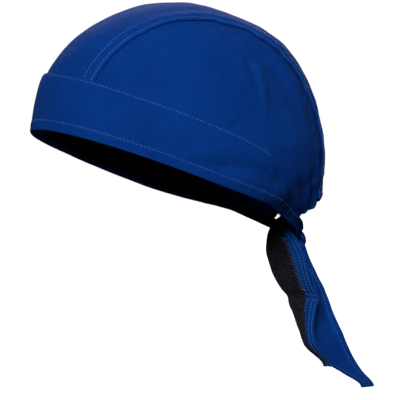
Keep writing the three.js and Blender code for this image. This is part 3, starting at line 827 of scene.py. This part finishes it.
def stitchTree():
    tree, entry, leave = newTree("stitchRows", (
        ("Pitch", "NodeSocketFloat"), ("Length", "NodeSocketFloat"), ("Thread", "NodeSocketFloat"),
        ("Arch", "NodeSocketFloat"), ("Sink", "NodeSocketFloat"), ("Seed", "NodeSocketInt"),
        ("Finish", "NodeSocketMaterial")))
    link = tree.links.new
    runs = tree.nodes.new("GeometryNodeMeshToCurve")
    link(entry.outputs["Geometry"], runs.inputs["Mesh"])
    spaced = tree.nodes.new("GeometryNodeResampleCurve")
    spaced.mode = "LENGTH"
    link(runs.outputs["Curve"], spaced.inputs["Curve"])
    link(entry.outputs["Pitch"], spaced.inputs["Length"])

    half = tree.nodes.new("ShaderNodeMath")
    half.operation = "MULTIPLY"
    half.inputs[1].default_value = 0.5
    link(entry.outputs["Length"], half.inputs[0])
    back = tree.nodes.new("ShaderNodeMath")
    back.operation = "MULTIPLY"
    back.inputs[1].default_value = -0.5
    link(entry.outputs["Length"], back.inputs[0])
    under = tree.nodes.new("ShaderNodeMath")
    under.operation = "MULTIPLY"
    under.inputs[1].default_value = -1.0
    link(entry.outputs["Sink"], under.inputs[0])

    arc = tree.nodes.new("GeometryNodeCurveQuadraticBezier")
    arc.inputs["Resolution"].default_value = 5
    for slot, x, z in (("Start", back.outputs[0], under.outputs[0]), ("Middle", None, entry.outputs["Arch"]),
                       ("End", half.outputs[0], under.outputs[0])):
        joined = tree.nodes.new("ShaderNodeCombineXYZ")
        if x is not None:
            link(x, joined.inputs["X"])
        link(z, joined.inputs["Z"])
        link(joined.outputs["Vector"], arc.inputs[slot])
    ring = tree.nodes.new("GeometryNodeCurvePrimitiveCircle")
    ring.inputs["Resolution"].default_value = 6
    link(entry.outputs["Thread"], ring.inputs["Radius"])
    tube = tree.nodes.new("GeometryNodeCurveToMesh")
    tube.inputs["Fill Caps"].default_value = True
    link(arc.outputs["Curve"], tube.inputs["Curve"])
    link(ring.outputs["Curve"], tube.inputs["Profile Curve"])

    lean = tree.nodes.new("GeometryNodeInputNamedAttribute")
    lean.data_type = "FLOAT_VECTOR"
    lean.inputs["Name"].default_value = "lean"
    upright = tree.nodes.new("FunctionNodeAlignRotationToVector")
    upright.axis = "Z"
    link(lean.outputs["Attribute"], upright.inputs["Vector"])
    tangent = tree.nodes.new("GeometryNodeInputTangent")
    turned = tree.nodes.new("FunctionNodeAlignRotationToVector")
    turned.axis = "X"
    turned.pivot_axis = "Z"
    link(upright.outputs["Rotation"], turned.inputs["Rotation"])
    link(tangent.outputs["Tangent"], turned.inputs["Vector"])
    varied = tree.nodes.new("FunctionNodeRandomValue")
    varied.data_type = "FLOAT_VECTOR"
    varied.inputs[0].default_value = (0.88, 0.9, 0.85)
    varied.inputs[1].default_value = (1.06, 1.1, 1.15)
    link(entry.outputs["Seed"], varied.inputs["Seed"])
    placed = tree.nodes.new("GeometryNodeInstanceOnPoints")
    link(spaced.outputs["Curve"], placed.inputs["Points"])
    link(tube.outputs["Mesh"], placed.inputs["Instance"])
    link(turned.outputs["Rotation"], placed.inputs["Rotation"])
    link(varied.outputs[0], placed.inputs["Scale"])
    real = tree.nodes.new("GeometryNodeRealizeInstances")
    link(placed.outputs["Instances"], real.inputs["Geometry"])
    soft = tree.nodes.new("GeometryNodeSetShadeSmooth")
    link(real.outputs["Geometry"], soft.inputs["Geometry"])
    dyed = tree.nodes.new("GeometryNodeSetMaterial")
    link(soft.outputs["Geometry"], dyed.inputs["Geometry"])
    link(entry.outputs["Finish"], dyed.inputs["Material"])
    link(dyed.outputs["Geometry"], leave.inputs["Geometry"])
    return tree


def threadTree():  # a thread laid along a path, for the overlocked edge
    tree, entry, leave = newTree("overlockThread", (
        ("Thread", "NodeSocketFloat"), ("Finish", "NodeSocketMaterial")))
    link = tree.links.new
    runs = tree.nodes.new("GeometryNodeMeshToCurve")
    link(entry.outputs["Geometry"], runs.inputs["Mesh"])
    ring = tree.nodes.new("GeometryNodeCurvePrimitiveCircle")
    ring.inputs["Resolution"].default_value = 6
    link(entry.outputs["Thread"], ring.inputs["Radius"])
    tube = tree.nodes.new("GeometryNodeCurveToMesh")
    tube.inputs["Fill Caps"].default_value = True
    link(runs.outputs["Curve"], tube.inputs["Curve"])
    link(ring.outputs["Curve"], tube.inputs["Profile Curve"])
    real = tree.nodes.new("GeometryNodeRealizeInstances")
    link(tube.outputs["Mesh"], real.inputs["Geometry"])
    soft = tree.nodes.new("GeometryNodeSetShadeSmooth")
    link(real.outputs["Geometry"], soft.inputs["Geometry"])
    dyed = tree.nodes.new("GeometryNodeSetMaterial")
    link(soft.outputs["Geometry"], dyed.inputs["Geometry"])
    link(entry.outputs["Finish"], dyed.inputs["Material"])
    link(dyed.outputs["Geometry"], leave.inputs["Geometry"])
    return tree


def loopTree():  # towelling loops scattered over a face, standing along its normals
    tree, entry, leave = newTree("towelLoops", (
        ("Density", "NodeSocketFloat"), ("Radius", "NodeSocketFloat"), ("Yarn", "NodeSocketFloat"),
        ("Seed", "NodeSocketInt"), ("Finish", "NodeSocketMaterial")))
    link = tree.links.new
    spread = tree.nodes.new("GeometryNodeDistributePointsOnFaces")
    spread.distribute_method = "RANDOM"
    link(entry.outputs["Geometry"], spread.inputs["Mesh"])
    link(entry.outputs["Density"], spread.inputs["Density"])
    link(entry.outputs["Seed"], spread.inputs["Seed"])
    hoop = tree.nodes.new("GeometryNodeCurvePrimitiveCircle")
    hoop.inputs["Resolution"].default_value = 6
    link(entry.outputs["Radius"], hoop.inputs["Radius"])
    yarn = tree.nodes.new("GeometryNodeCurvePrimitiveCircle")
    yarn.inputs["Resolution"].default_value = 3
    link(entry.outputs["Yarn"], yarn.inputs["Radius"])
    tube = tree.nodes.new("GeometryNodeCurveToMesh")
    link(hoop.outputs["Curve"], tube.inputs["Curve"])
    link(yarn.outputs["Curve"], tube.inputs["Profile Curve"])
    upright = tree.nodes.new("GeometryNodeTransform")
    upright.inputs["Rotation"].default_value = (math.pi / 2, 0.0, 0.0)
    link(tube.outputs["Mesh"], upright.inputs["Geometry"])
    spin = tree.nodes.new("FunctionNodeRandomValue")
    spin.data_type = "FLOAT_VECTOR"
    spin.inputs[0].default_value = (-0.5, -0.5, -3.14)
    spin.inputs[1].default_value = (0.5, 0.5, 3.14)
    link(entry.outputs["Seed"], spin.inputs["Seed"])
    turned = tree.nodes.new("FunctionNodeEulerToRotation")
    link(spin.outputs[0], turned.inputs["Euler"])
    joined = tree.nodes.new("FunctionNodeRotateRotation")
    joined.rotation_space = "LOCAL"
    link(spread.outputs["Rotation"], joined.inputs["Rotation"])
    link(turned.outputs["Rotation"], joined.inputs["Rotate By"])
    placed = tree.nodes.new("GeometryNodeInstanceOnPoints")
    link(spread.outputs["Points"], placed.inputs["Points"])
    link(upright.outputs["Geometry"], placed.inputs["Instance"])
    link(joined.outputs["Rotation"], placed.inputs["Rotation"])
    real = tree.nodes.new("GeometryNodeRealizeInstances")
    link(placed.outputs["Instances"], real.inputs["Geometry"])
    soft = tree.nodes.new("GeometryNodeSetShadeSmooth")
    link(real.outputs["Geometry"], soft.inputs["Geometry"])
    dyed = tree.nodes.new("GeometryNodeSetMaterial")
    link(soft.outputs["Geometry"], dyed.inputs["Geometry"])
    link(entry.outputs["Finish"], dyed.inputs["Material"])
    link(dyed.outputs["Geometry"], leave.inputs["Geometry"])
    return tree


def grow(piece, tree, values):  # runs the tree on the piece and keeps its result as a plain mesh
    modifier = piece.modifiers.new(tree.name, "NODES")
    modifier.node_group = tree
    for item in tree.interface.items_tree:
        if item.in_out == "INPUT" and item.name in values:
            modifier[item.identifier] = values[item.name]
    graph = bpy.context.evaluated_depsgraph_get()
    graph.update()
    made = bpy.data.meshes.new_from_object(piece.evaluated_get(graph), depsgraph=graph)
    piece.modifiers.clear()
    piece.data = made
    return piece


stitchRows = stitchTree()
overlockThread = threadTree()
stitchValues = {"Pitch": stitchLook["pitch"] * mm, "Length": stitchLook["length"] * mm,
                "Thread": stitchLook["thread"] * mm, "Arch": stitchLook["arch"] * mm,
                "Sink": stitchLook["sink"] * mm, "Seed": stitchLook["seed"], "Finish": blueThread}

rows = []
for side in (-1, 1):
    for inset in (1.6, 6.0):  # the two rows of each felled seam
        along = np.linspace(browAlong + 7, hemAlong - 0.4, 420)
        spread = side * (1 - inset / centreHalf(along))
        rows.append(facing(surfaces["centre"], along, spread, -1.0))
for side in (-1, 1):  # the hem's row runs on over the side panels to the band
    rises = np.linspace(0.02, 0.86, 60)
    ends = np.full(60, 1 - sideLook["hemRow"] / sideLook["girth"])
    rows.append(facing(lambda rise, t: surfaces["side"](side, t, rise), rises, ends, -side))
hemSpread = np.linspace(-0.96, 0.96, 90)
rows.append(facing(lambda s, a: surfaces["centre"](a, s), hemSpread, np.full(90, hemAlong - math.degrees(4.2 / hollow["rise"]))))
crownStitches = grow(rowsMesh("crownStitches", rows), stitchRows, stitchValues)

rows = []
azimuth = np.linspace(-168, 168, 900)
rows.append(facing(surfaces["band"], azimuth, np.full(900, bandLook["hemRow"])))
azimuth = np.linspace(-113, 113, 700)
lower, upper = bandEdges(azimuth)
rows.append(facing(surfaces["band"], azimuth, upper - lower - bandLook["topRow"]))
bandStitches = grow(rowsMesh("bandStitches", rows), stitchRows, stitchValues)


def tailRow(table, root, drop, hand, inset, rear, face, start=0.06, end=0.985, count=160):
    t = np.linspace(start, end, count)
    width = columnAt(table, "down", "width", t) * tie["width"]
    wall = layers["cloth"] * columnAt(table, "down", "wall", t)
    off = np.full(count, inset) if rear else width - inset
    depth = wall + 0.1 if face > 0 else np.full(count, -0.3)
    path = tailPoint(table, root, drop, hand, t, off, depth)
    turn = np.radians(columnAt(table, "down", "facing", t))
    lean = np.stack((np.sin(turn), -np.cos(turn), np.zeros(count)), axis=-1) * face
    return path, lean


rows = []
for table, root, drop, hand in ((longTail, longRoot, tie["longDrop"], 1), (shortTail, shortRoot, tie["shortDrop"], -1)):
    rows.append(tailRow(table, root, drop, hand, tailLook["edgeRow"], True, 1))
    rows.append(tailRow(table, root, drop, hand, tailLook["edgeRow"], False, 1))
    for inset in tailLook["stripRows"]:
        rows.append(tailRow(table, root, drop, hand, inset, True, -1))
off = np.linspace(1.0, tie["rearHem"] - 0.6, 20)
for shift in tailLook["seamRows"]:  # rows across the strip beside its joining seam
    t = np.full(20, tailLook["seamAt"] + shift / tie["shortDrop"])
    path = tailPoint(shortTail, shortRoot, tie["shortDrop"], -1, t, off, np.full(20, -0.7))
    turn = np.radians(columnAt(shortTail, "down", "facing", t))
    rows.append((path, np.stack((-np.sin(turn), np.cos(turn), np.zeros(20)), axis=-1)))
tailStitches = grow(rowsMesh("tailStitches", rows), stitchRows,
                    stitchValues | {"Pitch": 2.2 * mm, "Length": 1.6 * mm, "Thread": 0.19 * mm})
overlockLook = {"from": 0.13, "to": 0.5, "pitch": 1.9, "thread": 0.34, "low": 8.2, "high": 13.4, "slant": 0.62}
count = int((overlockLook["to"] - overlockLook["from"]) * tie["shortDrop"] / overlockLook["pitch"])
turns = np.arange(count * 2)
downs = (turns // 2 + overlockLook["slant"] * (turns % 2)) * overlockLook["pitch"]
off = np.where(turns % 2 == 0, overlockLook["high"], overlockLook["low"])
path = tailPoint(shortTail, shortRoot, tie["shortDrop"], -1, overlockLook["from"] + downs / tie["shortDrop"], off,
                 np.where(turns % 2 == 0, -1.5, -0.5))
count = len(turns)
overlock = grow(rowsMesh("overlockedEdge", [(path, np.zeros((count, 3)))]), overlockThread,
                {"Thread": overlockLook["thread"] * mm, "Finish": blueThread})
print("stitches", sum(len(o.data.polygons) for o in (crownStitches, bandStitches, tailStitches)), "faces")


# Towelling loops on the faces of the linings that show
loopLook = {"yarn": 0.24, "sweatDensity": 0.3, "tailDensity": 0.85, "sweatRadius": 0.6, "tailRadius": 0.5, "seed": 9}


def liningLoops(name, grid, density, radius, flip):
    rows, columns = grid.shape[:2]
    at = np.arange(rows * columns).reshape(rows, columns)
    faces = np.stack((at[:-1, :-1], at[1:, :-1], at[1:, 1:], at[:-1, 1:]), axis=-1).reshape(-1, 4)
    mesh = bpy.data.meshes.new(name)
    mesh.from_pydata((grid.reshape(-1, 3) * mm).tolist(), [], (faces[:, ::-1] if flip else faces).tolist())
    piece = bpy.data.objects.new(name, mesh)
    bpy.context.scene.collection.objects.link(piece)
    return grow(piece, towelLoops, {"Density": density / mm ** 2, "Radius": radius * mm,
                                    "Yarn": loopLook["yarn"] * mm, "Seed": loopLook["seed"], "Finish": blackTowelling})


towelLoops = loopTree()
sweatLoops = liningLoops("sweatbandLoops", liningFaces["sweatband"][::3, 2:-2:2], loopLook["sweatDensity"],
                         loopLook["sweatRadius"], True)
longLoops = liningLoops("tailLongLoops", liningFaces["tailLongLining"][4:-75:3, 4:-4:3], loopLook["tailDensity"],
                        loopLook["tailRadius"], True)
shortLoops = liningLoops("tailShortLoops", liningFaces["tailShortLining"][4:-48:3, 4:-4:3], loopLook["tailDensity"],
                         loopLook["tailRadius"], False)
print("towelling loops", [len(o.data.polygons) for o in (sweatLoops, longLoops, shortLoops)])


# Who each piece stands for and rides on
pieces = {
    "crown_centre_panel": (crownCentre, "blue_cotton"),
    "crown_side_panel_left": (crownSideLeft, "blue_cotton"),
    "crown_side_panel_right": (crownSideRight, "blue_cotton"),
    "brow_band": (browBand, "blue_cotton"),
    "sweatband": (sweatband, "dark_towelling"),
    "knot_left_turn": (knotLeft, "blue_cotton"),
    "knot_right_turn": (knotRight, "blue_cotton"),
    "long_tail": (tailLong, "blue_cotton"),
    "long_tail_lining": (tailLongLining, "dark_towelling"),
    "short_tail": (tailShort, "blue_cotton"),
    "short_tail_lining": (tailShortLining, "dark_towelling"),
}
for nodeName, (piece, slotName) in pieces.items():
    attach(piece, "root")
    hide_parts(nodeName)
for piece in (crownStitches, bandStitches, tailStitches, overlock, sweatLoops, longLoops, shortLoops):
    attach(piece, "root")

# Floor, studio light and camera
studio = {"floorDrop": -0.55, "floorGlow": 0.36, "air": 0.085, "backdrop": 1.0}
floorMesh = bpy.data.meshes.new("studioFloor")
floorMesh.from_pydata([(-40, -40, studio["floorDrop"]), (40, -40, studio["floorDrop"]),
                       (40, 40, studio["floorDrop"]), (-40, 40, studio["floorDrop"])], [], [(0, 1, 2, 3)])
floor = bpy.data.objects.new("studioFloor", floorMesh)
bpy.context.scene.collection.objects.link(floor)
floorMaterial = bpy.data.materials.new("floorPaper")
floorMaterial.use_nodes = True
floorTree = floorMaterial.node_tree
floorShader = floorTree.nodes["Principled BSDF"]
floorGrain = noiseNode(floorTree, node(floorTree, "ShaderNodeTexCoord").outputs["Object"], 3.0, 2.0)
floorTree.links.new(blendColour(floorTree, floorGrain, (0.85, 0.85, 0.85), (0.88, 0.88, 0.88)),
                    floorShader.inputs["Base Color"])
floorShader.inputs["Roughness"].default_value = 0.9
floorShader.inputs["Emission Color"].default_value = (1.0, 1.0, 1.0, 1.0)
floorShader.inputs["Emission Strength"].default_value = studio["floorGlow"]
floorMesh.materials.append(floorMaterial)
floor.visible_diffuse = False
floor.visible_glossy = False

world = bpy.data.worlds.new("studioAir")
world.use_nodes = True
airTree = world.node_tree
soft = airTree.nodes["Background"]
soft.inputs["Color"].default_value = (1.0, 1.0, 1.0, 1.0)
soft.inputs["Strength"].default_value = studio["air"]
backdrop = node(airTree, "ShaderNodeBackground")
backdrop.inputs["Color"].default_value = (1.0, 1.0, 1.0, 1.0)
backdrop.inputs["Strength"].default_value = studio["backdrop"]
seen = node(airTree, "ShaderNodeLightPath")
both = node(airTree, "ShaderNodeMixShader")
airTree.links.new(seen.outputs["Is Camera Ray"], both.inputs[0])
airTree.links.new(soft.outputs["Background"], both.inputs[1])
airTree.links.new(backdrop.outputs["Background"], both.inputs[2])
airTree.links.new(both.outputs["Shader"], airTree.nodes["World Output"].inputs["Surface"])
bpy.context.scene.world = world

lights = (  # name, azimuth, elevation, strength, softness in degrees
    ("keyLight", 62.0, 26.0, 3.35, 18.0),
    ("backLight", 248.0, 34.0, 1.7, 30.0),
    ("topLight", 60.0, 84.0, 0.25, 50.0),
)
for name, azimuth, elevation, strength, softness in lights:
    lamp = bpy.data.lights.new(name, "SUN")
    lamp.energy = strength
    lamp.angle = math.radians(softness)
    lightObject = bpy.data.objects.new(name, lamp)
    lightObject.rotation_euler = (math.radians(90 - elevation), 0.0, math.radians(azimuth))
    bpy.context.scene.collection.objects.link(lightObject)

target = np.array((0.00575, 0.01579, -0.1332))
cameraData = bpy.data.cameras.new("photoCamera")
cameraData.lens = 167.3
cameraData.sensor_width = 36.0
camera = bpy.data.objects.new("photoCamera", cameraData)
camera.location = (1.2273, -0.4288, -0.1332)
aim = target - np.array(camera.location)
camera.rotation_euler = (math.pi / 2, 0.0, math.atan2(aim[1], aim[0]) - math.pi / 2)
bpy.context.scene.collection.objects.link(camera)
bpy.context.scene.camera = camera
bpy.context.scene.view_settings.view_transform = "Standard"
print("studio ready")
